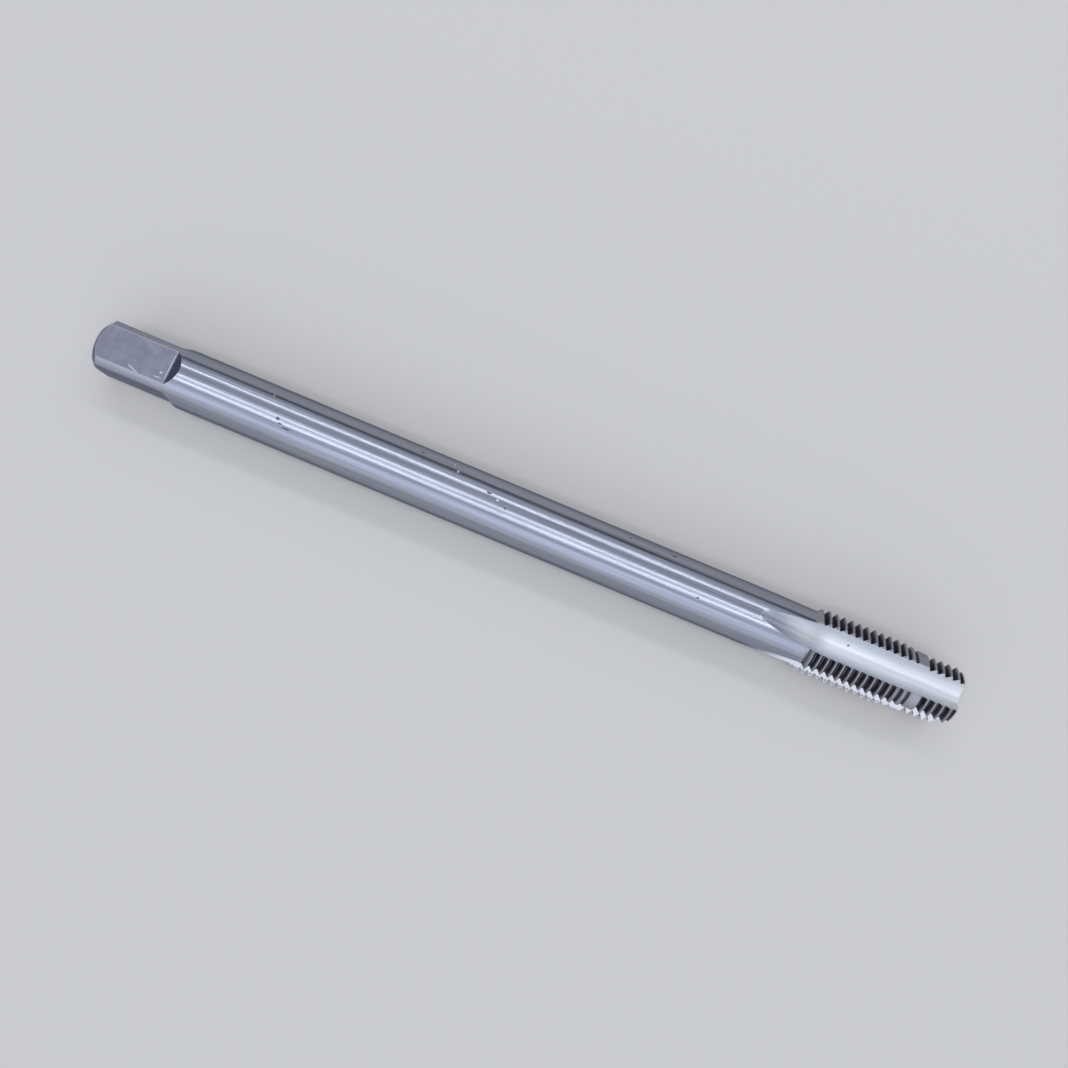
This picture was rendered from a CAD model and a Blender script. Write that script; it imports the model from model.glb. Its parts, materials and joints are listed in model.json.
# %% [markdown]
# # A thread tap in tool steel
# The tap is one piece of steel: a square to turn it by, a long ground shank, four flutes, a
# main thread and a smaller pilot thread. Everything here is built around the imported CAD
# model, which gives the frame, so we load that before anything else.

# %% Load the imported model
import json
import math
import bmesh
import bpy
import numpy as np
from mathutils import Matrix, Vector


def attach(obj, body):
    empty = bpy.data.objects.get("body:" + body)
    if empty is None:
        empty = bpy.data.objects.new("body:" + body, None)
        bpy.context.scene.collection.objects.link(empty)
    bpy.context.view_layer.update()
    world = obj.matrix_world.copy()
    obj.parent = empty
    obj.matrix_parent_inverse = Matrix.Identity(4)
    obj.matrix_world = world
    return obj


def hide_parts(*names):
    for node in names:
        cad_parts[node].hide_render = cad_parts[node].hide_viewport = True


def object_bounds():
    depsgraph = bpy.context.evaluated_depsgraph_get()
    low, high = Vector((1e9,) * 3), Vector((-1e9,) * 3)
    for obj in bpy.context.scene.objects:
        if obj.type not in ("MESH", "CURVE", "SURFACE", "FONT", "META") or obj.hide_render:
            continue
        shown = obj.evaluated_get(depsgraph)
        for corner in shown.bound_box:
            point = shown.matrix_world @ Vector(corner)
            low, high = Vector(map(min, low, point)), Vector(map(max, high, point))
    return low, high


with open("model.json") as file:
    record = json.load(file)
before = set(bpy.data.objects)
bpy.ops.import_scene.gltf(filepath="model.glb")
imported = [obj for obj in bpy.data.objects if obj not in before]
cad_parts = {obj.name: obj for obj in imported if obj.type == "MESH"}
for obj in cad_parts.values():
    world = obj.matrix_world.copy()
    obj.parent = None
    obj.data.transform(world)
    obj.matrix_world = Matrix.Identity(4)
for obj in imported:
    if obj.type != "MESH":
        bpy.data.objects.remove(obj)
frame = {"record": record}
cad_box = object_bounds()
record = frame["record"]
print("CAD box in metres:", [tuple(round(v, 5) for v in corner) for corner in cad_box])

# %% [markdown]
# ## One set of units
# Blender works in metres and a tool drawing in millimetres. We keep the drawing's numbers
# and turn them into metres in one place only. The record says how high the axis lies.

# %% Units and the tap's axis
MM = 0.001
shank_mount = next(m for m in record["mounts"] if m["name"] == "shank")
axis_height = shank_mount["pos_m"][2] / MM
drive_end_x = cad_box[0].x / MM
print("axis height in mm:", round(axis_height, 4), "drive end at x:", round(drive_end_x, 3))

# %% [markdown]
# ## Camera
# A close camera makes parallel lines run together and a far one keeps them parallel. This
# one stands 18 cm away, a little in front of straight above, and is rolled so that the tap
# runs down to the right. Setting the whole matrix avoids guessing at three angles.

# %% Place the camera
FRAME_PIXELS = 1068
SENSOR_WIDTH = 36.0
focal_pixels = 972.0
camera_distance = 180.0
camera_elevation = math.radians(79.35)
camera_side_tilt = math.radians(-0.09)
camera_roll = math.radians(22.67)
camera_target = Vector((1.8, -1.6, axis_height))

back = Vector((
    math.sin(camera_side_tilt),
    -math.cos(camera_side_tilt) * math.cos(camera_elevation),
    math.cos(camera_side_tilt) * math.sin(camera_elevation),
))
level_right = (Vector((1, 0, 0)) - back.x * back).normalized()
level_up = back.cross(level_right)
right = math.cos(camera_roll) * level_right + math.sin(camera_roll) * level_up
up = back.cross(right)

camera_data = bpy.data.cameras.new("camera")
camera_data.sensor_width = SENSOR_WIDTH
camera_data.lens = focal_pixels / FRAME_PIXELS * SENSOR_WIDTH
camera_data.clip_start = 0.01
camera = bpy.data.objects.new("camera", camera_data)
bpy.context.scene.collection.objects.link(camera)
turn = Matrix((right, up, back)).transposed().to_4x4()
camera.matrix_world = Matrix.Translation((camera_target + back * camera_distance) * MM) @ turn
bpy.context.scene.camera = camera
bpy.context.scene.view_settings.view_transform = "Standard"
print("lens in mm:", round(camera_data.lens, 2))

# %% [markdown]
# ## Floor
# The tap lies on a plain pale floor. It is one large round face, so that its edge looks the
# same from every side, and it is marked as stage so that nobody takes it for part of the tool.

# %% Lay the floor
FLOOR_RADIUS = 1.2
FLOOR_SIDES = 96
FLOOR_COLOUR = (0.69, 0.675, 0.65)


def link(tree, source, target):
    """Joins two sockets of a node tree."""
    tree.links.new(source, target)


def new_material(name):
    """A material with its Principled shader, ready for nodes."""
    material = bpy.data.materials.new(name)
    material.use_nodes = True
    return material, material.node_tree, material.node_tree.nodes["Principled BSDF"]


floor_mesh = bpy.data.meshes.new("floor")
rim_angles = [2 * math.pi * side / FLOOR_SIDES for side in range(FLOOR_SIDES)]
rim = [(FLOOR_RADIUS * math.cos(a), FLOOR_RADIUS * math.sin(a), 0) for a in rim_angles]
floor_mesh.from_pydata(rim, [], [tuple(range(FLOOR_SIDES))])
floor = bpy.data.objects.new("floor", floor_mesh)
bpy.context.scene.collection.objects.link(floor)

floor_material, tree, shader = new_material("pale_floor")
shader.inputs["Base Color"].default_value = (*FLOOR_COLOUR, 1)
shader.inputs["Roughness"].default_value = 0.9
shader.inputs["Specular IOR Level"].default_value = 0.1
floor_mesh.materials.append(floor_material)
print("floor radius in metres:", FLOOR_RADIUS)

# %% [markdown]
# ## Light
# Polished steel has little colour of its own: it shows what stands around it. A long round
# bar turns its surroundings into stripes, so the light is built as long strips that run
# along the tap. The world gives the broad tones, by the angle from straight up towards the
# front, and the strip lamps give the bright lines. Towards the two ends of the tap the tones
# fade. Near the horizon a pale backdrop takes over, so that a low view has a pale background
# and the steel mirrors it.

# %% Directions in the world
def ramp(tree, value, start, end, low=0.0, high=1.0, smooth=False):
    """Goes from low to high while the given value goes from start to end."""
    node = tree.nodes.new("ShaderNodeMapRange")
    node.interpolation_type = "SMOOTHSTEP" if smooth else "LINEAR"
    node.inputs["From Min"].default_value = start
    node.inputs["From Max"].default_value = end
    node.inputs["To Min"].default_value = low
    node.inputs["To Max"].default_value = high
    link(tree, value, node.inputs["Value"])
    return node.outputs["Result"]


world = bpy.data.worlds.new("studio")
bpy.context.scene.world = world
world.use_nodes = True
tree = world.node_tree
directions = tree.nodes.new("ShaderNodeTexCoord")
split = tree.nodes.new("ShaderNodeSeparateXYZ")
to_front = tree.nodes.new("ShaderNodeMath")
to_front.operation = "MULTIPLY"
to_front.inputs[1].default_value = -1
bearing = tree.nodes.new("ShaderNodeMath")
bearing.operation = "ARCTAN2"
link(tree, directions.outputs["Generated"], split.inputs[0])
link(tree, split.outputs["Y"], to_front.inputs[0])
link(tree, to_front.outputs[0], bearing.inputs[0])
link(tree, split.outputs["Z"], bearing.inputs[1])
print("the world is painted by bearing, height and distance along the tap")

# %% Tones by bearing: degrees from straight up towards the front, and brightness
COOL_LIGHT = (0.94, 1.0, 1.12)
WORLD_TONES = (
    (-65, 0.05),
    (-60, 0.55),
    (-45, 0.80),
    (-20, 0.60),
    (-5, 0.60),
    (15, 0.95),
    (30, 0.85),
    (40, 0.70),
    (50, 1.40),
    (60, 1.20),
    (80, 1.05),
    (90, 0.90),
)
tones = tree.nodes.new("ShaderNodeValToRGB")
link(tree, ramp(tree, bearing.outputs[0], -math.pi, math.pi), tones.inputs["Fac"])
stops = tones.color_ramp.elements
while len(stops) < len(WORLD_TONES):
    stops.new(0.5)
for stop, (angle, level) in zip(stops, WORLD_TONES):
    stop.position = (angle + 180) / 360
    stop.color = (*(level * channel for channel in COOL_LIGHT), 1)
print("world tones:", len(stops))

# %% Fade the tones towards the ends of the tap
END_FADE_START, END_FADE_END, END_LEVEL = 0.48, 0.66, 0.35
along = tree.nodes.new("ShaderNodeMath")
along.operation = "ABSOLUTE"
link(tree, split.outputs["X"], along.inputs[0])
end_level = ramp(tree, along.outputs[0], END_FADE_START, END_FADE_END, 1.0, END_LEVEL)
faded = tree.nodes.new("ShaderNodeVectorMath")
faded.operation = "SCALE"
link(tree, tones.outputs["Color"], faded.inputs[0])
link(tree, end_level, faded.inputs["Scale"])
print("the tones keep this share of their light at the ends:", END_LEVEL)

# %% A pale backdrop round the horizon
BACKDROP_BACK, BACKDROP_FRONT = (0.56, 0.57, 0.59), (0.88, 0.90, 0.96)
BACKDROP_TOP, TONES_FROM = 0.235, 0.33


def mixed_colour(tree, factor):
    """A colour mix, with its two colour inputs and its output."""
    node = tree.nodes.new("ShaderNodeMix")
    node.data_type = "RGBA"
    link(tree, factor, node.inputs["Factor"])
    return node.inputs[6], node.inputs[7], node.outputs[2]


towards_front = ramp(tree, to_front.outputs[0], 0, 1, smooth=True)
behind, in_front, horizon = mixed_colour(tree, towards_front)
behind.default_value = (*BACKDROP_BACK, 1)
in_front.default_value = (*BACKDROP_FRONT, 1)
overhead = ramp(tree, split.outputs["Z"], BACKDROP_TOP, TONES_FROM, smooth=True)
low_down, high_up, surroundings = mixed_colour(tree, overhead)
link(tree, horizon, low_down)
link(tree, faded.outputs[0], high_up)
link(tree, surroundings, tree.nodes["Background"].inputs["Color"])
print("backdrop up to", BACKDROP_TOP, "and tones from", TONES_FROM)

# %% Strip lamps along the tap
LAMP_DISTANCE = 0.9
LAMP_LENGTH = 1.24


def strip_lamp(name, angle, spread, power, tint):
    """A long lamp beside the tap. angle is from straight up towards the front, in degrees."""
    lamp = bpy.data.lights.new(name, "AREA")
    lamp.shape = "RECTANGLE"
    lamp.size = LAMP_LENGTH
    lamp.size_y = 2 * LAMP_DISTANCE * math.tan(math.radians(spread / 2))
    lamp.energy = power * lamp.size * lamp.size_y * math.pi
    lamp.color = tint
    a = math.radians(angle)
    holder = bpy.data.objects.new(name, lamp)
    bpy.context.scene.collection.objects.link(holder)
    holder.location = (0, -LAMP_DISTANCE * math.sin(a), LAMP_DISTANCE * math.cos(a))
    holder.rotation_euler = (-a, 0, 0)
    return holder


lamps = (
    strip_lamp("back_strip", angle=-34, spread=13, power=3.1, tint=(0.97, 0.99, 1.0)),
    strip_lamp("top_strip", angle=4.5, spread=7.5, power=2.15, tint=(0.95, 0.98, 1.0)),
    strip_lamp("front_strip", angle=22, spread=10, power=2.3, tint=(0.97, 0.99, 1.0)),
)
print("lamps:", [lamp.name for lamp in lamps])

# %% [markdown]
# ## Sizes of the tool
# A tap is a turned bar with cuts in it: four flats for the wrench, four flutes, and vee
# grooves that leave the teeth. The bar's radius is known at each distance from the drive
# end, so a short list of corners holds the whole outline.

# %% The turned bar
OVERALL_LENGTH = 170.0
SHANK_RADIUS = 5.6
THREAD_RADIUS = 6.6
PILOT_RADIUS = 6.0
DRIVE_END_CHAMFER = 1.5
TIP_ROUNDING = 2.1
SHOULDER_START, THREAD_START, LEAD_START, LEAD_END = 140.3, 141.3, 156.5, 160.8
BAR_CORNERS = (
    (0, SHANK_RADIUS - DRIVE_END_CHAMFER),
    (DRIVE_END_CHAMFER, SHANK_RADIUS),
    (SHOULDER_START, SHANK_RADIUS),
    (THREAD_START, THREAD_RADIUS),
    (LEAD_START, THREAD_RADIUS),
    (LEAD_END, PILOT_RADIUS),
    (OVERALL_LENGTH, PILOT_RADIUS),
)


def bar_radius(s):
    """Radius of the turned bar at s mm from the drive end."""
    corners_s, corners_r = zip(*BAR_CORNERS)
    radius = np.interp(s, corners_s, corners_r)
    into_tip = np.clip(s - (OVERALL_LENGTH - TIP_ROUNDING), 0, TIP_ROUNDING)
    return radius - TIP_ROUNDING + np.sqrt(TIP_ROUNDING**2 - into_tip**2)


print("bar radius at the shank, thread and tip:", bar_radius(np.array([60.0, 150.0, 170.0])))

# %% [markdown]
# ## Thread grooves
# A groove runs round the bar as a helix: each time round it moves on by one pitch. If we
# slide every row of points along by its share of that pitch, all rows see the same groove,
# and the crests and roots of the teeth fall exactly on rows. The corners are softened over
# less than a tenth of a millimetre, because real steel has no perfect edge and the softened
# one catches light.

# %% The groove's shape
PITCH = 1.5
THREAD_DEPTH = 0.92
HALF_ROOT_FLAT = 0.125
FLANK_ANGLE = 60
FLANK_SLOPE = math.tan(math.radians(FLANK_ANGLE / 2))
MAIN_THREAD_END, MAIN_GROOVE_COUNT = 161.05, 14
PILOT_THREAD_START, PILOT_GROOVE_COUNT = 162.55, 7
MAIN_GROOVES = MAIN_THREAD_END - PITCH * np.arange(1, MAIN_GROOVE_COUNT + 1)
PILOT_GROOVES = PILOT_THREAD_START + PITCH * np.arange(0, PILOT_GROOVE_COUNT)
CREST_SOFTNESS = 0.07
FAR_OUTSIDE = 99.0
TINY = 1e-6


def soft_minimum(a, b, softness):
    """The smaller of two heights, with the corner between them rounded off."""
    overlap = np.clip(softness - np.abs(a - b), 0, None)
    return np.minimum(a, b) - overlap**2 / (4 * softness)


def groove_radius(u):
    """Radius left by the grooves at helix position u; far from a groove it is very large."""
    left = np.full(np.shape(u), FAR_OUTSIDE)
    for centres, crest in ((MAIN_GROOVES, THREAD_RADIUS), (PILOT_GROOVES, PILOT_RADIUS)):
        away = np.min(np.abs(np.asarray(u)[..., None] - centres), axis=-1)
        climb = np.clip(away - HALF_ROOT_FLAT, 0, None) / FLANK_SLOPE
        near = away < PITCH / 2 + TINY
        left = np.where(near, np.minimum(left, crest - THREAD_DEPTH + climb), left)
    return left


def steel_radius(s, u):
    """Radius of the steel on a land, grooves included."""
    return soft_minimum(bar_radius(s), groove_radius(u), CREST_SOFTNESS)


print("grooves:", len(MAIN_GROOVES), "main and", len(PILOT_GROOVES), "pilot")

# %% [markdown]
# ## Flats and flutes
# Flats and flutes are both notches: each is a section that is pushed along the bar and then
# lifted out of it. For a flat the section is a straight line; for a flute it is a round
# bottom between two faces. We write the depth of each notch as a height above the axis, at
# w mm to the side of the notch's middle.

# %% Height of the square's flats
FLAT_HEIGHT = 4.5
SQUARE_LENGTH = 14.7
FLAT_RUNOUT = math.radians(30)
FLAT_FILLET = 0.6
fillet_start = SQUARE_LENGTH - FLAT_FILLET * math.tan(FLAT_RUNOUT / 2)
fillet_end = SQUARE_LENGTH + FLAT_FILLET * math.tan(FLAT_RUNOUT / 2) * math.cos(FLAT_RUNOUT)
flat_end = SQUARE_LENGTH + (SHANK_RADIUS - FLAT_HEIGHT) / math.tan(FLAT_RUNOUT)
flat_start = FLAT_HEIGHT - (SHANK_RADIUS - DRIVE_END_CHAMFER)


def flat_surface(w, s):
    """Height of a flat, with its filleted slope up to the shank."""
    into_fillet = np.clip(s - fillet_start, 0, FLAT_FILLET * math.sin(FLAT_RUNOUT))
    arc = FLAT_FILLET - np.sqrt(FLAT_FILLET**2 - into_fillet**2)
    slope = np.clip(s - fillet_end, 0, None) * math.tan(FLAT_RUNOUT)
    return FLAT_HEIGHT + arc + slope + 0 * w


print("a flat runs from", round(flat_start, 2), "to", round(flat_end, 3))

# %% Height of the flutes
WEB_RADIUS = 2.9
FLUTE_FACE = math.radians(24.82)
FLUTE_BOTTOM_RADIUS = 2.693
FLUTE_HALF_ANGLE = math.radians(27.82)
FLUTE_LENGTH = 25.6
FLUTE_STRAIGHT_START = OVERALL_LENGTH - FLUTE_LENGTH
FLUTE_BLEND = 15.0
FLUTE_CLIMB = math.radians(11.5)
bottom_centre = WEB_RADIUS + FLUTE_BOTTOM_RADIUS
foot_w = FLUTE_BOTTOM_RADIUS * math.cos(FLUTE_FACE)
foot_v = bottom_centre - FLUTE_BOTTOM_RADIUS * math.sin(FLUTE_FACE)


def flute_section(w):
    """Height of the flute where it has its full depth."""
    w = np.abs(w)
    inside = np.minimum(w, foot_w)
    bottom = bottom_centre - np.sqrt(FLUTE_BOTTOM_RADIUS**2 - inside**2)
    return np.where(w < foot_w, bottom, foot_v + (w - foot_w) / math.tan(FLUTE_FACE))


def flute_surface(w, s):
    """Height of the flute at s, swept round the blend and up the run-out."""
    swing = FLUTE_BLEND - flute_section(w)
    behind = np.clip(FLUTE_STRAIGHT_START - s, 0, None)
    arc_length = swing * math.sin(FLUTE_CLIMB)
    along_arc = np.minimum(behind, arc_length)
    on_arc = FLUTE_BLEND - np.sqrt(np.clip(swing**2 - along_arc**2, 0, None))
    return on_arc + np.clip(behind - arc_length, 0, None) * math.tan(FLUTE_CLIMB)


arc_at_web = (FLUTE_BLEND - WEB_RADIUS) * math.sin(FLUTE_CLIMB)
web_after_arc = FLUTE_BLEND - (FLUTE_BLEND - WEB_RADIUS) * math.cos(FLUTE_CLIMB)
ramp_length = (SHANK_RADIUS - web_after_arc) / math.tan(FLUTE_CLIMB)
flute_apex = FLUTE_STRAIGHT_START - arc_at_web - ramp_length
print("the flutes leave the shank at", round(flute_apex, 2))

# %% [markdown]
# ## Where a notch meets the bar
# The edge of a flute is where its height equals the bar's. There is no neat formula once
# teeth are cut, so we halve an interval until it is exact. All edges are solved at once.

# %% Solve for the edges
HALVINGS = 40
JUST_INSIDE = 0.999


def edge_offset(surface, s, radius):
    """How far to the side of its middle a notch meets the bar; 0 where it misses the bar."""
    low, high = np.zeros_like(radius), radius * JUST_INSIDE
    for _ in range(HALVINGS):
        middle = (low + high) / 2
        inside = surface(middle, s) < np.sqrt(radius**2 - middle**2)
        low, high = np.where(inside, middle, low), np.where(inside, high, middle)
    return np.where(surface(0 * s, s) < radius, low, 0)


flute_half_width = edge_offset(flute_surface, np.array([150.0]), np.array([THREAD_RADIUS]))
print("half width of a flute at its edges:", flute_half_width.round(3))

# %% [markdown]
# ## Rows of points
# The tap's skin is a grid: rows go along the tool and columns go round it. Rows are dense
# where the shape turns quickly and far apart on the plain shank. Near the point where a
# notch begins its edge opens like a square root, so rows there close up as squares do.

# %% Choose the rows
TIP_ROW_COUNT = 44
SHEAR_START, SHEAR_FULL = 133.5, 139.0
TOOTH_ROWS_FROM, TIP_ROWS_FROM = 139.25, 167.8
TEETH_IN_A_ROW = 21


def opening(start, end, count):
    """Positions from start to end that are crowded at start."""
    return start + (end - start) * np.linspace(0, 1, count) ** 2


HALF_TOOTH_ROWS = np.array((0.11, 0.18, 0.34, 0.50, 0.63, 0.67, 0.71))
TOOTH_ROWS = np.concatenate((
    (-PITCH / 2,), -HALF_TOOTH_ROWS[::-1], (0,), HALF_TOOTH_ROWS,
))
drive_rows = np.concatenate((
    (0, 0.15, flat_start * 0.85),
    opening(flat_start, DRIVE_END_CHAMFER, 9),
    np.arange(2.0, 14.2, 0.6),
    np.linspace(fillet_start, fillet_end, 6),
    opening(flat_end, fillet_end + 0.1, 12)[::-1],
))
shank_rows = np.concatenate((
    np.arange(flat_end + 0.4, flute_apex - 0.3, 1.6),
    (flute_apex - 0.1,),
))
runout_rows = np.concatenate((opening(flute_apex, 132.4, 12), np.arange(132.8, 139.2, 0.4)))
all_centres = MAIN_GROOVES.min() + PITCH * np.arange(0, TEETH_IN_A_ROW)
tooth_rows = (all_centres[:, None] + TOOTH_ROWS).ravel()
on_teeth = (tooth_rows > TOOTH_ROWS_FROM) & (tooth_rows < TIP_ROWS_FROM - TINY)
tooth_rows = tooth_rows[on_teeth]
body_rows = np.concatenate((drive_rows, shank_rows, runout_rows, tooth_rows, (TIP_ROWS_FROM,)))
in_order = bool(np.all(np.diff(body_rows) > 0))
print("rows:", len(body_rows) + TIP_ROW_COUNT, "in order:", in_order)

# %% [markdown]
# ## Slide the rows along the helix
# Each land has two edges, so eight places round the bar need to know how far their rows
# slide. The slide fades in before the thread starts, and in the last few millimetres the
# rows are squeezed so that they all end exactly at the tip.

# %% Positions at the eight land edges
NOTCH_ANGLES = np.array((0, 90, 180, 270))
half_flute = math.degrees(FLUTE_HALF_ANGLE)
edge_angles = []
for land_middle in NOTCH_ANGLES - 45:
    edge_angles.append(land_middle - 45 + half_flute)
    edge_angles.append(land_middle + 45 - half_flute)
edge_slides = PITCH * (np.array(edge_angles) + 90) / 360

fade = np.clip((body_rows - SHEAR_START) / (SHEAR_FULL - SHEAR_START), 0, 1)
fade = fade**2 * (3 - 2 * fade)
edge_s = body_rows[:, None] + fade[:, None] * edge_slides
edge_u = edge_s - edge_slides
squeeze = 1 - (1 - np.arange(1, TIP_ROW_COUNT + 1)[:, None] / TIP_ROW_COUNT) ** 2
tip_s = edge_s[-1] + (OVERALL_LENGTH - edge_s[-1]) * squeeze
edge_s = np.vstack((edge_s, tip_s))
edge_u = np.vstack((edge_u, tip_s - edge_slides))
edge_r = steel_radius(edge_s, edge_u)

square_end = flat_end + 0.05
is_square = edge_s < square_end
edge_w = np.where(
    is_square,
    edge_offset(flat_surface, edge_s, edge_r),
    edge_offset(flute_surface, edge_s, edge_r),
)
print("edge offsets:", edge_w.min().round(3), "to", edge_w.max().round(3))

# %% [markdown]
# ## Fill in the grid
# Between the two edges of a land the points lie on the threaded bar; between the two edges
# of a notch they lie on its surface. Where a notch has no width its columns fall together,
# and they are merged afterwards, so one grid serves for the square, the shank and the flutes.

# %% Points on the lands and in the notches
LAND_STEPS = 16
NOTCH_SPREAD = np.array((0, 0.14, 0.28, 0.41, 0.53, 0.64, 0.75, 0.85, 0.93, 1.0))
notch_fractions = np.concatenate((-NOTCH_SPREAD[:0:-1], NOTCH_SPREAD))[1:-1]


def round_bar(angle, radius):
    """Across and up coordinates at an angle from straight up towards the front."""
    return -radius * np.sin(angle), radius * np.cos(angle)


columns_s, columns_y, columns_z = [], [], []
columns_worn, columns_depth, column_kinds = [], [], []
for land in range(4):
    first, last = 2 * land, 2 * land + 1
    before, after = math.radians(90 * land - 90), math.radians(90 * land)
    start = before + np.arcsin(edge_w[:, first] / edge_r[:, first])
    end = after - np.arcsin(edge_w[:, last] / edge_r[:, last])
    for step in range(LAND_STEPS + 1):
        part = step / LAND_STEPS
        s = edge_s[:, first] * (1 - part) + edge_s[:, last] * part
        u = edge_u[:, first] * (1 - part) + edge_u[:, last] * part
        radius = steel_radius(s, u)
        y, z = round_bar(start * (1 - part) + end * part, radius)
        columns_s.append(s)
        columns_y.append(y)
        columns_z.append(z)
        columns_worn.append(np.full(len(s), 1.0 if step in (0, LAND_STEPS) else 0.0))
        columns_depth.append((bar_radius(s) - radius) / THREAD_DEPTH)
        column_kinds.append("land" if step < LAND_STEPS else "notch")
    following = (2 * land + 2) % 8
    for fraction in notch_fractions:
        side = last if fraction < 0 else following
        w = fraction * edge_w[:, side]
        part = (fraction + 1) / 2
        s = edge_s[:, last] * (1 - part) + edge_s[:, following] * part
        cut = np.where(s < square_end, flat_surface(w, s), flute_surface(w, s))
        v = np.minimum(cut, np.sqrt(edge_r[:, side] ** 2 - w**2))
        columns_s.append(s)
        columns_y.append(-v * math.sin(after) - w * math.cos(after))
        columns_z.append(v * math.cos(after) - w * math.sin(after))
        columns_worn.append(np.zeros(len(s)))
        columns_depth.append(np.zeros(len(s)))
        column_kinds.append("notch")
grid_s, grid_y, grid_z = (np.array(c).T for c in (columns_s, columns_y, columns_z))
worn, depth = np.array(columns_worn).T, np.array(columns_depth).T
print("grid:", grid_s.shape)

# %% [markdown]
# ## Centre holes
# Both ends carry a small drilled and countersunk hole, left from grinding the tap between
# centres. Each is four more rings and a last point at the bottom of the drill. The first two
# rings soften the mouth's rim.

# %% Add the rings of the centre holes
DRILL_RADIUS, MOUTH_RADIUS, DRILL_DEPTH = 0.8, 1.675, 3.2
CONE_SLOPE = math.tan(math.radians(30))
RIM_OUT, RIM_IN, RIM_DEPTH = 0.05, 0.03, 0.05
cone_depth = (MOUTH_RADIUS - DRILL_RADIUS) / CONE_SLOPE
HOLE_RINGS = (
    (MOUTH_RADIUS + RIM_OUT, 0.0),
    (MOUTH_RADIUS - RIM_IN, RIM_DEPTH),
    (DRILL_RADIUS, cone_depth),
    (DRILL_RADIUS, DRILL_DEPTH),
    (0.0, DRILL_DEPTH + DRILL_RADIUS * CONE_SLOPE),
)


def hole_rows(outline_y, outline_z, end_s, inward):
    """Rings under the end face, in line with the outline's own points."""
    angle = np.arctan2(-outline_y, outline_z)
    rings = []
    for radius, down in HOLE_RINGS:
        y, z = round_bar(angle, radius)
        rings.append((np.full(len(y), end_s + inward * down), y, z))
    return [np.array(part) for part in zip(*rings)]


drive_hole = hole_rows(grid_y[0], grid_z[0], 0.0, 1)
tip_hole = hole_rows(grid_y[-1], grid_z[-1], OVERALL_LENGTH, -1)
all_s, all_y, all_z = (
    np.vstack((a[::-1], b, c)) for a, b, c in zip(drive_hole, (grid_s, grid_y, grid_z), tip_hole)
)
ring_padding = ((len(HOLE_RINGS), len(HOLE_RINGS)), (0, 0))
worn, depth = np.pad(worn, ring_padding), np.pad(depth, ring_padding)
print("rows with the holes:", all_s.shape[0])

# %% [markdown]
# ## Make the mesh
# Four neighbouring points make a face. Points that fall together share one vertex, and a
# face that loses two corners is dropped, which leaves a closed skin with no stray faces.
# Each face gets its finish here: ground shank, milled flat, ground flute, thread or end.

# %% Build the tap's skin
FINISHES = ("ground_shank", "milled_flat", "ground_flute", "cut_thread", "turned_end")
THREAD_FINISH_START = 139.9


def finish_of(s, kind, row):
    """The finish of a face, from where it lies on the tool."""
    if row < len(HOLE_RINGS) or row >= all_s.shape[0] - len(HOLE_RINGS) - 1:
        return "turned_end"
    if kind == "notch":
        return "milled_flat" if s < flat_end else "ground_flute"
    return "cut_thread" if s > THREAD_FINISH_START else "ground_shank"


points = np.stack((all_s + drive_end_x, all_y, all_z + axis_height), axis=-1).reshape(-1, 3)
kept, places = np.unique(points.round(5), axis=0, return_inverse=True)
places = places.reshape(all_s.shape)
row_count, column_count = all_s.shape
faces, finishes = [], []
for row in range(row_count - 1):
    for column in range(column_count):
        beside = (column + 1) % column_count
        near_pair, far_pair = places[row], places[row + 1]
        ring = (near_pair[column], near_pair[beside], far_pair[beside], far_pair[column])
        corners = list(dict.fromkeys(int(p) for p in ring))
        if len(corners) > 2:
            middle_s = all_s[row:row + 2, column].mean()
            finish = finish_of(middle_s, column_kinds[column], row)
            faces.append(corners)
            finishes.append(FINISHES.index(finish))

tap_mesh = bpy.data.meshes.new("tap_body")
tap_mesh.from_pydata([tuple(p * MM) for p in kept], [], faces)
tap_mesh.polygons.foreach_set("material_index", finishes)
for name, values in (("edge_wear", worn), ("tooth_depth", depth)):
    layer = tap_mesh.attributes.new(name, "FLOAT", "POINT")
    per_vertex = np.zeros(len(kept), np.float32)
    np.maximum.at(per_vertex, places.ravel(), values.ravel().astype(np.float32))
    layer.data.foreach_set("value", per_vertex)
tap = bpy.data.objects.new("tap_body", tap_mesh)
bpy.context.scene.collection.objects.link(tap)
print("vertices:", len(kept), "faces:", len(faces))

# %% [markdown]
# ## Soft skin and hard edges
# Smooth shading blends the light over neighbouring faces, which suits ground steel but not
# an edge. An edge stays hard where the faces turn sharply, and all along the border of a
# flat or a flute, even where the flute leaves the shank at a very low angle.

# %% Mark the hard edges
HARD_ANGLE = math.radians(28)
NOTCH_FINISHES = {FINISHES.index("milled_flat"), FINISHES.index("ground_flute")}
skin = bmesh.new()
skin.from_mesh(tap_mesh)
bmesh.ops.recalc_face_normals(skin, faces=skin.faces)
for face in skin.faces:
    face.smooth = True
hard_count = 0
for edge in skin.edges:
    pair = [face.material_index for face in edge.link_faces]
    border = len(pair) == 2 and (pair[0] in NOTCH_FINISHES) != (pair[1] in NOTCH_FINISHES)
    edge.smooth = not (border or edge.calc_face_angle(0) > HARD_ANGLE)
    hard_count += not edge.smooth
open_edges = sum(not edge.is_manifold for edge in skin.edges)
volume = skin.calc_volume()
skin.to_mesh(tap_mesh)
skin.free()
print("hard edges:", hard_count, "open edges:", open_edges)
print("volume in mm3:", round(volume / MM**3, 1))

# %% [markdown]
# ## Shared effects
# Two effects come back in several finishes. Grain is a noise stretched along one direction,
# as a wheel or a cutter leaves it. A mark is a small soft spot at a given place, for nicks
# and scratches. Each is a node group, built once and placed with its own values.

# %% Node group for grain
MIDDLE = 0.5


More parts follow.
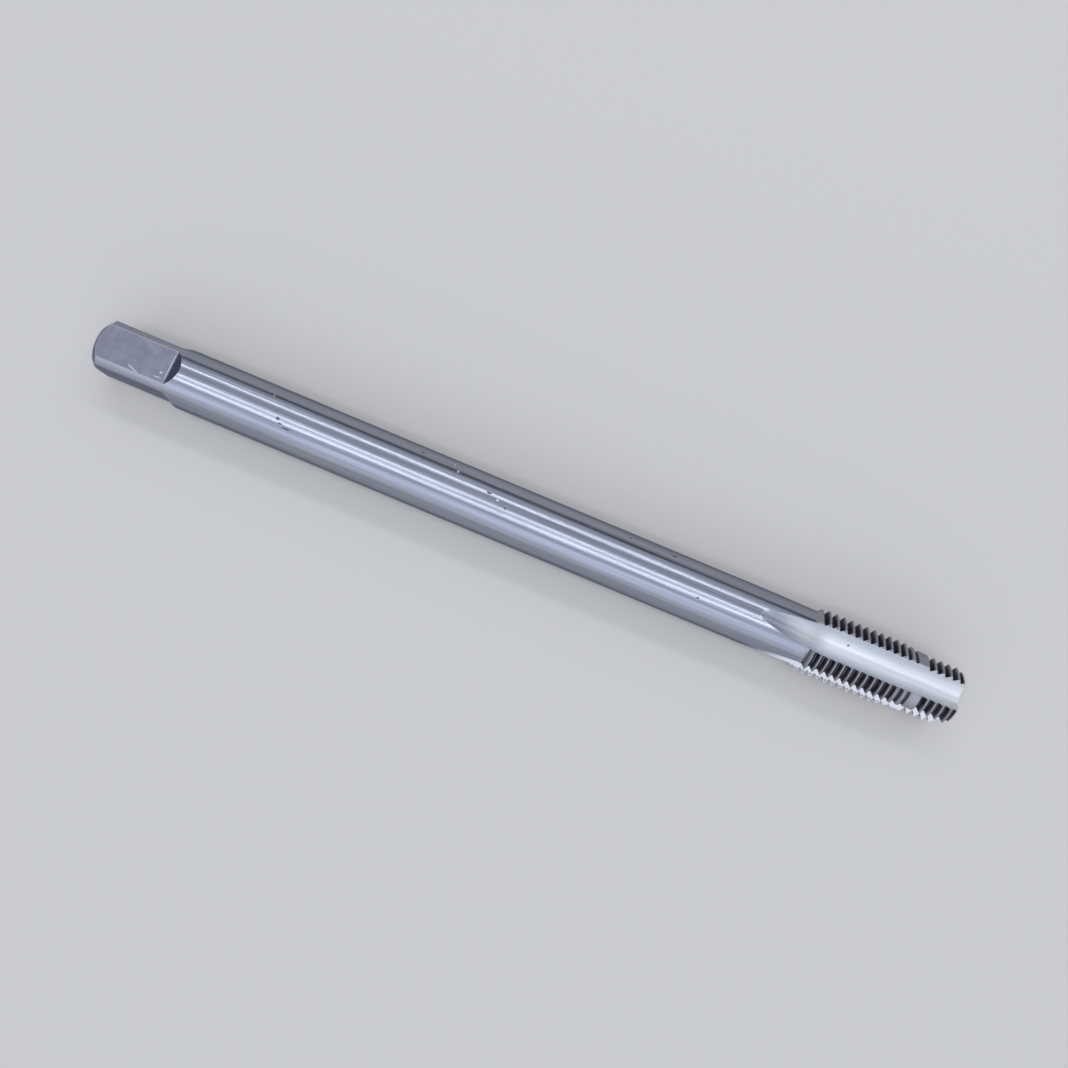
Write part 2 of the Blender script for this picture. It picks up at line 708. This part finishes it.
def new_group(name, inputs, outputs):
    """An empty shader group with named sockets, and its two end nodes."""
    group = bpy.data.node_groups.new(name, "ShaderNodeTree")
    for kind, title, value in inputs:
        socket = group.interface.new_socket(title, in_out="INPUT", socket_type=kind)
        socket.default_value = value
    for kind, title in outputs:
        group.interface.new_socket(title, in_out="OUTPUT", socket_type=kind)
    return group, group.nodes.new("NodeGroupInput"), group.nodes.new("NodeGroupOutput")


grain_group, given, result = new_group(
    "stretched_grain",
    (("NodeSocketVector", "Position", (0, 0, 0)),
     ("NodeSocketVector", "Stretch", (1, 1, 1)),
     ("NodeSocketFloat", "Contrast", 1.0)),
    (("NodeSocketFloat", "Grain"),),
)
stretch = grain_group.nodes.new("ShaderNodeVectorMath")
stretch.operation = "MULTIPLY"
noise = grain_group.nodes.new("ShaderNodeTexNoise")
noise.inputs["Scale"].default_value = 1.0
noise.inputs["Detail"].default_value = 4.0
noise.inputs["Roughness"].default_value = 0.6
centred = grain_group.nodes.new("ShaderNodeMath")
centred.operation = "SUBTRACT"
centred.inputs[1].default_value = MIDDLE
spread = grain_group.nodes.new("ShaderNodeMath")
spread.operation = "MULTIPLY_ADD"
spread.inputs[2].default_value = MIDDLE
spread.use_clamp = True
link(grain_group, given.outputs["Position"], stretch.inputs[0])
link(grain_group, given.outputs["Stretch"], stretch.inputs[1])
link(grain_group, stretch.outputs[0], noise.inputs["Vector"])
link(grain_group, noise.outputs[0], centred.inputs[0])
link(grain_group, centred.outputs[0], spread.inputs[0])
link(grain_group, given.outputs["Contrast"], spread.inputs[1])
link(grain_group, spread.outputs[0], result.inputs["Grain"])
print("group:", grain_group.name)

# %% Node group for a mark
RAGGEDNESS = 0.7
MARK_OUTER, MARK_INNER = 1.35, 0.75
mark_group, given, result = new_group(
    "surface_mark",
    (("NodeSocketVector", "Position", (0, 0, 0)),
     ("NodeSocketVector", "Centre", (0, 0, 0)),
     ("NodeSocketVector", "Half Size", (1, 1, 1)),
     ("NodeSocketFloat", "Heading", 0.0)),
    (("NodeSocketFloat", "Mask"),),
)
from_centre = mark_group.nodes.new("ShaderNodeVectorMath")
from_centre.operation = "SUBTRACT"
heading = mark_group.nodes.new("ShaderNodeVectorRotate")
heading.rotation_type = "Z_AXIS"
scaled = mark_group.nodes.new("ShaderNodeVectorMath")
scaled.operation = "DIVIDE"
reach = mark_group.nodes.new("ShaderNodeVectorMath")
reach.operation = "LENGTH"
ragged = mark_group.nodes.new("ShaderNodeTexNoise")
ragged.inputs["Scale"].default_value = 3.0
ragged.inputs["Detail"].default_value = 2.0
wander = mark_group.nodes.new("ShaderNodeMath")
wander.operation = "MULTIPLY_ADD"
wander.inputs[1].default_value = RAGGEDNESS
link(mark_group, given.outputs["Position"], from_centre.inputs[0])
link(mark_group, given.outputs["Centre"], from_centre.inputs[1])
link(mark_group, from_centre.outputs[0], heading.inputs["Vector"])
link(mark_group, given.outputs["Heading"], heading.inputs["Angle"])
link(mark_group, heading.outputs[0], scaled.inputs[0])
link(mark_group, given.outputs["Half Size"], scaled.inputs[1])
link(mark_group, scaled.outputs[0], reach.inputs[0])
link(mark_group, given.outputs["Position"], ragged.inputs["Vector"])
link(mark_group, ragged.outputs[0], wander.inputs[0])
link(mark_group, reach.outputs["Value"], wander.inputs[2])
falloff = ramp(mark_group, wander.outputs[0], MARK_OUTER, MARK_INNER, smooth=True)
link(mark_group, falloff, result.inputs["Mask"])
print("group:", mark_group.name)

# %% [markdown]
# ## Helpers for the finishes
# Every finish starts from the same place: the position on the tool in millimetres, measured
# from the drive end and from the axis. Small helpers keep the node code short, so that each
# finish below reads as a recipe. Every metal mirrors more strongly at a grazing angle; a
# Specular Tint below white holds that back, so that the rims of the round bar don't glow.

# %% Node helpers
MICRON = 0.000001
EDGE_TINT = (0.42, 0.42, 0.45)


def position_in_mm(tree):
    """Position on the tool: x from the drive end, y and z from the axis."""
    where = tree.nodes.new("ShaderNodeTexCoord")
    place = tree.nodes.new("ShaderNodeMapping")
    place.inputs["Scale"].default_value = (1 / MM, 1 / MM, 1 / MM)
    place.inputs["Location"].default_value = (-drive_end_x, 0, -axis_height)
    link(tree, where.outputs["Object"], place.inputs["Vector"])
    return place.outputs[0]


def place_group(tree, group, position, **values):
    """Puts a shared group in a material, with its own values, and gives its first output."""
    node = tree.nodes.new("ShaderNodeGroup")
    node.node_tree = group
    link(tree, position, node.inputs["Position"])
    for name, value in values.items():
        node.inputs[name.replace("_", " ")].default_value = value
    return node.outputs[0]


def blend(tree, mask, low, high):
    """A value or a socket between low and high, by the mask."""
    node = tree.nodes.new("ShaderNodeMix")
    link(tree, mask, node.inputs["Factor"])
    for socket, value in ((node.inputs["A"], low), (node.inputs["B"], high)):
        if isinstance(value, bpy.types.NodeSocket):
            link(tree, value, socket)
        else:
            socket.default_value = value
    return node.outputs["Result"]


def blend_colour(tree, mask, low, high):
    """A colour between two others, by the mask."""
    first, second, mixed = mixed_colour(tree, mask)
    for socket, value in ((first, low), (second, high)):
        if isinstance(value, bpy.types.NodeSocket):
            link(tree, value, socket)
        else:
            socket.default_value = (*value, 1)
    return mixed


def attribute(tree, name):
    """A value painted on the mesh's points."""
    node = tree.nodes.new("ShaderNodeAttribute")
    node.attribute_name = name
    return node.outputs["Fac"]


def relief(tree, shader, height, microns):
    """A fine relief of the given depth."""
    node = tree.nodes.new("ShaderNodeBump")
    node.inputs["Strength"].default_value = 1.0
    node.inputs["Distance"].default_value = microns * MICRON
    link(tree, height, node.inputs["Height"])
    link(tree, node.outputs["Normal"], shader.inputs["Normal"])


def steel_shader(name):
    """A fully metallic finish with its node tree, shader and position."""
    material, tree, shader = new_material(name)
    shader.inputs["Metallic"].default_value = 1.0
    shader.inputs["Specular Tint"].default_value = (*EDGE_TINT, 1)
    return material, tree, shader, position_in_mm(tree)


print("tint at a grazing angle:", EDGE_TINT)

# %% [markdown]
# ## Ground shank
# The shank is ground round and then drawn through wrappers, boxes and collets, so it keeps
# fine lines along its length, a few dark nicks and some bright flecks. The lines vary the
# colour, and a very fine relief bends the reflections.

# %% The shank's finish
def on_shank(s, angle):
    """A place on the shank, for a mark: s mm from the drive end, angle in degrees."""
    y, z = round_bar(math.radians(angle), SHANK_RADIUS)
    return (s, float(y), float(z))


NICK_DARK, FLECK_BRIGHT = (0.11, 0.115, 0.15), (0.80, 0.82, 0.88)
NICK_HEIGHT = -2.0
SHANK_NICKS = (
    (on_shank(36.3, 12), (0.5, 0.35, 0.5)),
    (on_shank(38.3, 25), (1.4, 0.26, 0.5)),
    (on_shank(37.0, 20), (0.5, 0.22, 0.5)),
    (on_shank(76.5, -12), (0.55, 0.22, 0.5)),
    (on_shank(80.2, 3), (0.2, 0.35, 0.5)),
    (on_shank(62.5, -40), (0.3, 0.3, 0.4)),
    (on_shank(103.3, -44), (0.3, 0.3, 0.4)),
    (on_shank(112.0, -43), (0.5, 0.25, 0.4)),
    (on_shank(118.4, 20), (0.3, 0.3, 0.4)),
)
SHANK_FLECKS = (
    (on_shank(69.8, -29), 0.3),
    (on_shank(78.4, -5), 0.28),
    (on_shank(68.7, -42), 0.2),
    (on_shank(33.8, -27), 0.2),
)
shank_steel, tree, shader, position = steel_shader("ground_shank")
lines = place_group(tree, grain_group, position, Stretch=(0.035, 3.2, 3.2), Contrast=2.2)
cloud = place_group(tree, grain_group, position, Stretch=(0.12, 0.3, 0.3), Contrast=1.8)
peel = place_group(tree, grain_group, position, Stretch=(0.9, 1.6, 1.6), Contrast=1.6)
colour = blend_colour(tree, lines, (0.285, 0.305, 0.365), (0.41, 0.43, 0.50))
roughness = blend(tree, cloud, 0.15, 0.21)
height = blend(tree, peel, lines, 1.0)
for centre, half_size in SHANK_NICKS:
    mask = place_group(tree, mark_group, position, Centre=centre, Half_Size=half_size)
    colour = blend_colour(tree, mask, colour, NICK_DARK)
    roughness = blend(tree, mask, roughness, 0.45)
    height = blend(tree, mask, height, NICK_HEIGHT)
for centre, size in SHANK_FLECKS:
    mask = place_group(tree, mark_group, position, Centre=centre, Half_Size=(size, size, size))
    colour = blend_colour(tree, mask, colour, FLECK_BRIGHT)
    roughness = blend(tree, mask, roughness, 0.6)
link(tree, colour, shader.inputs["Base Color"])
link(tree, roughness, shader.inputs["Roughness"])
relief(tree, shader, height, microns=11)
print("nicks on the shank:", len(SHANK_NICKS), "bright flecks:", len(SHANK_FLECKS))

# %% [markdown]
# ## Milled flats
# A cutter crosses each flat and leaves it matte, with faint lines from side to side. The
# slope at its end is darker. The wrench has scratched and dented the top flat and left a
# bright line across its end. The painted edge mask gives the edges that are rubbed bright.

# %% The square's finish
SLOPE_DARK, SCRATCH_BRIGHT = (0.11, 0.125, 0.19), (0.66, 0.67, 0.74)
flat_steel, tree, shader, position = steel_shader("milled_flat")
cutter_lines = place_group(tree, grain_group, position, Stretch=(5.0, 0.35, 0.35), Contrast=2.0)
patches = place_group(tree, grain_group, position, Stretch=(0.5, 0.5, 0.5), Contrast=2.0)
colour = blend_colour(tree, cutter_lines, (0.30, 0.305, 0.375), (0.38, 0.385, 0.465))
colour = blend_colour(tree, patches, colour, (0.25, 0.25, 0.315))
colour = blend_colour(tree, attribute(tree, "edge_wear"), colour, (0.50, 0.49, 0.52))
roughness = blend(tree, patches, 0.42, 0.52)
along_tool = tree.nodes.new("ShaderNodeSeparateXYZ")
link(tree, position, along_tool.inputs[0])
on_slope = ramp(tree, along_tool.outputs["X"], fillet_end - 0.1, fillet_end + 0.1)
colour = blend_colour(tree, on_slope, colour, SLOPE_DARK)
FLAT_MARKS = (
    ((8.5, -2.8, FLAT_HEIGHT), (1.6, 0.16, 0.5), 0.35),
    ((13.4, -1.5, FLAT_HEIGHT), (0.32, 0.32, 0.5), 0.0),
    ((13.2, -2.5, FLAT_HEIGHT), (0.9, 0.14, 0.5), -0.1),
    ((14.45, 0.2, FLAT_HEIGHT), (0.13, 4.2, 0.5), 0.0),
)
for centre, size, angle in FLAT_MARKS:
    mask = place_group(tree, mark_group, position, Centre=centre, Half_Size=size, Heading=angle)
    colour = blend_colour(tree, mask, colour, SCRATCH_BRIGHT)
link(tree, colour, shader.inputs["Base Color"])
link(tree, roughness, shader.inputs["Roughness"])
relief(tree, shader, cutter_lines, microns=4)
print("marks on the flat:", len(FLAT_MARKS))

# %% [markdown]
# ## Ground flutes
# A shaped wheel grinds the flutes along the tool. They are brighter and softer than the
# shank, darker where they run out of it and close to the rim, and the cutting edges shine.

# %% The flutes' finish
RUNOUT_FROM, RUNOUT_FULL = 139.5, 132.5
RIM_FROM, RIM_FULL = 5.7, 6.1
RUNOUT_COLOUR, RIM_COLOUR = (0.43, 0.455, 0.53), (0.25, 0.255, 0.30)
PIT_PLACE, PIT_SIZE, PIT_DARK = (147.6, 1.2, 3.2), (0.3, 0.3, 0.6), (0.20, 0.20, 0.22)
flute_steel, tree, shader, position = steel_shader("ground_flute")
wheel_lines = place_group(tree, grain_group, position, Stretch=(0.15, 2.6, 2.6), Contrast=1.8)
patches = place_group(tree, grain_group, position, Stretch=(0.4, 0.6, 0.6), Contrast=1.6)
colour = blend_colour(tree, wheel_lines, (0.70, 0.72, 0.755), (0.80, 0.82, 0.85))
pit = place_group(tree, mark_group, position, Centre=PIT_PLACE, Half_Size=PIT_SIZE)
colour = blend_colour(tree, pit, colour, PIT_DARK)
along_tool = tree.nodes.new("ShaderNodeSeparateXYZ")
across_tool = tree.nodes.new("ShaderNodeVectorMath")
across_tool.operation = "MULTIPLY"
across_tool.inputs[1].default_value = (0, 1, 1)
from_axis = tree.nodes.new("ShaderNodeVectorMath")
from_axis.operation = "LENGTH"
link(tree, position, across_tool.inputs[0])
link(tree, across_tool.outputs[0], from_axis.inputs[0])
link(tree, position, along_tool.inputs[0])
near_rim = ramp(tree, from_axis.outputs["Value"], RIM_FROM, RIM_FULL)
in_runout = ramp(tree, along_tool.outputs["X"], RUNOUT_FROM, RUNOUT_FULL, smooth=True)
colour = blend_colour(tree, in_runout, colour, RUNOUT_COLOUR)
colour = blend_colour(tree, near_rim, colour, RIM_COLOUR)
colour = blend_colour(tree, attribute(tree, "edge_wear"), colour, (0.70, 0.71, 0.76))
roughness = blend(tree, patches, 0.44, 0.50)
roughness = blend(tree, in_runout, roughness, 0.34)
link(tree, colour, shader.inputs["Base Color"])
link(tree, roughness, shader.inputs["Roughness"])
relief(tree, shader, wheel_lines, microns=2)
print("the run-out's finish starts at", RUNOUT_FROM, "and is full at", RUNOUT_FULL)

# %% [markdown]
# ## Thread
# The flanks of the teeth stay as the heat treatment left them, dark with a violet tinge,
# while the crests are rubbed grey. The painted depth of the groove tells one from the other.

# %% The teeth's finish
CREST_ENDS, FLANK_FULL = 0.05, 0.42
CREST_COLOUR = (0.37, 0.37, 0.415)
thread_steel, tree, shader, position = steel_shader("cut_thread")
in_groove = ramp(tree, attribute(tree, "tooth_depth"), CREST_ENDS, FLANK_FULL)
stain = place_group(tree, grain_group, position, Stretch=(0.8, 0.8, 0.8), Contrast=2.5)
flank = blend_colour(tree, stain, (0.05, 0.048, 0.06), (0.14, 0.135, 0.165))
colour = blend_colour(tree, in_groove, CREST_COLOUR, flank)
roughness = blend(tree, in_groove, 0.38, 0.48)
link(tree, colour, shader.inputs["Base Color"])
link(tree, roughness, shader.inputs["Roughness"])
relief(tree, shader, stain, microns=4)
print("a flank is fully dark from this share of the depth:", FLANK_FULL)

# %% [markdown]
# ## Turned ends
# The end faces and centre holes are turned, a little darker and rougher than the shank.

# %% The ends' finish
end_steel, tree, shader, position = steel_shader("turned_end")
speckle = place_group(tree, grain_group, position, Stretch=(2.0, 2.0, 2.0), Contrast=2.0)
colour = blend_colour(tree, speckle, (0.28, 0.28, 0.31), (0.38, 0.38, 0.41))
roughness = blend(tree, speckle, 0.34, 0.44)
link(tree, colour, shader.inputs["Base Color"])
link(tree, roughness, shader.inputs["Roughness"])
relief(tree, shader, speckle, microns=3)
print("end finish:", end_steel.name)

# %% [markdown]
# ## Hand the piece to the frame
# The finishes go on in the order that the faces were numbered. The detailed skin then rides
# on the tap's one body, stands for its CAD solid, and takes its finish from the record's
# tool steel.

# %% Dress, ride and replace
for material in (shank_steel, flat_steel, flute_steel, thread_steel, end_steel):
    tap_mesh.materials.append(material)
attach(tap, "root")
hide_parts("thread_tap")
print("materials:", [m.name for m in tap_mesh.materials])
